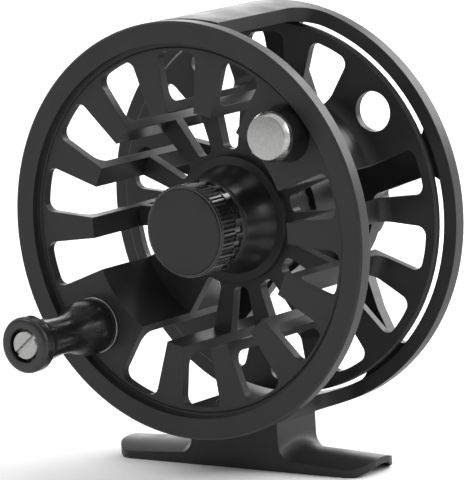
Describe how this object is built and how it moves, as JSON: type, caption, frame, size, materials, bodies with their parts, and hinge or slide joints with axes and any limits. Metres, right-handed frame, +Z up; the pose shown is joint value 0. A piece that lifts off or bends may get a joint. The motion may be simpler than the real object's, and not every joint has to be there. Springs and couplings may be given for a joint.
{
  "type": "fly fishing reel",
  "caption": "Large-arbor fly reel with a ported spool, open-armed frame, turned grip, counterweight, screw cap, rear drag knob and reel foot.",
  "frame": {"origin": "middle of the foot's saddle, at the level of the foot's lower edges", "axes": "+Z up from the foot to the spool, +Y along the spool's axis from the handle side to the drag knob, +X along the foot"},
  "size_m": [0.085, 0.0786, 0.0935],
  "materials": {
    "black_anodised": "satin black anodised",
    "black_gloss": "polished black anodised",
    "black_grip": "gloss black",
    "bare_metal": "fine turned",
    "steel": "ground",
    "brass": "turned",
    "nylon": "matt",
    "rubber": "matt",
    "carbon": "woven carbon"
  },
  "bodies": {
    "frame": {"frame": "black_anodised", "spindle": "steel", "spindle_nut": "steel", "reel_foot": "black_anodised", "foot_screws": "steel", "drag_housing": "black_anodised", "housing_screws": "steel", "bearing_inner_races": "steel", "click_spring": "steel", "housing_cover": "black_anodised", "housing_seal": "rubber", "drag_discs": "carbon", "disc_springs": "steel"},
    "spool": {"spool": "black_anodised", "hub_boss": "black_gloss", "drive_hub": "steel", "drive_pins": "steel", "bearing_outer_races": "steel", "bearing_balls": "steel", "clutch_shell": "steel", "clutch_rollers": "steel", "click_ring": "nylon", "counterweight_boss": "black_gloss", "counterweight": "bare_metal", "handle_post": "steel", "handle_base_ring": "bare_metal", "handle_screw": "bare_metal"},
    "handle": {"handle_grip": "black_grip", "handle_bush": "brass"},
    "cap_lift": {"cap_washer": "nylon"},
    "cap": {"spool_cap": "black_gloss", "cap_plate": "black_anodised"},
    "drag_rotor": {"drag_rotor": "brass"},
    "drag_thrust": {"pressure_plate": "steel", "thrust_pins": "steel"},
    "drag_knob": {"drag_knob": "black_anodised", "drag_knob_cover": "black_anodised"},
    "click_plunger": {"click_plunger": "brass"}
  },
  "joints": [
    {"name": "spool_spin", "type": "hinge", "parent": "frame", "child": "spool", "pos_m": [0, 0, 0.051], "axis": [0, 1, 0], "continuous": true},
    {"name": "handle_spin", "type": "hinge", "parent": "spool", "child": "handle", "pos_m": [-0.02474, -0.02025, 0.03039], "axis": [0, 1, 0], "continuous": true},
    {"name": "cap_turn", "type": "hinge", "parent": "cap_lift", "child": "cap", "pos_m": [0, 0, 0.051], "axis": [0, 1, 0], "range_deg": [0, 720]},
    {"name": "cap_slide", "type": "slide", "parent": "spool", "child": "cap_lift", "axis": [0, 1, 0], "range_m": [-0.002, 0]},
    {"name": "drag_rotor_spin", "type": "hinge", "parent": "frame", "child": "drag_rotor", "pos_m": [0, 0, 0.051], "axis": [0, 1, 0], "continuous": true},
    {"name": "drag_knob_turn", "type": "hinge", "parent": "drag_thrust", "child": "drag_knob", "pos_m": [0, 0, 0.051], "axis": [0, 1, 0], "range_deg": [0, 300]},
    {"name": "drag_thrust_slide", "type": "slide", "parent": "frame", "child": "drag_thrust", "axis": [0, 1, 0], "range_m": [-0.0005, 0]},
    {"name": "click_plunger_slide", "type": "slide", "parent": "frame", "child": "click_plunger", "axis": [0, 1, 0], "range_m": [0, 0.00035], "stiffness_N_per_m": 200}
  ],
  "couplings": [
    {"joint": "cap_turn", "follows": "cap_slide", "rad_per_m": -6283.2},
    {"joint": "drag_knob_turn", "follows": "drag_thrust_slide", "rad_per_m": -10472}
  ]
}
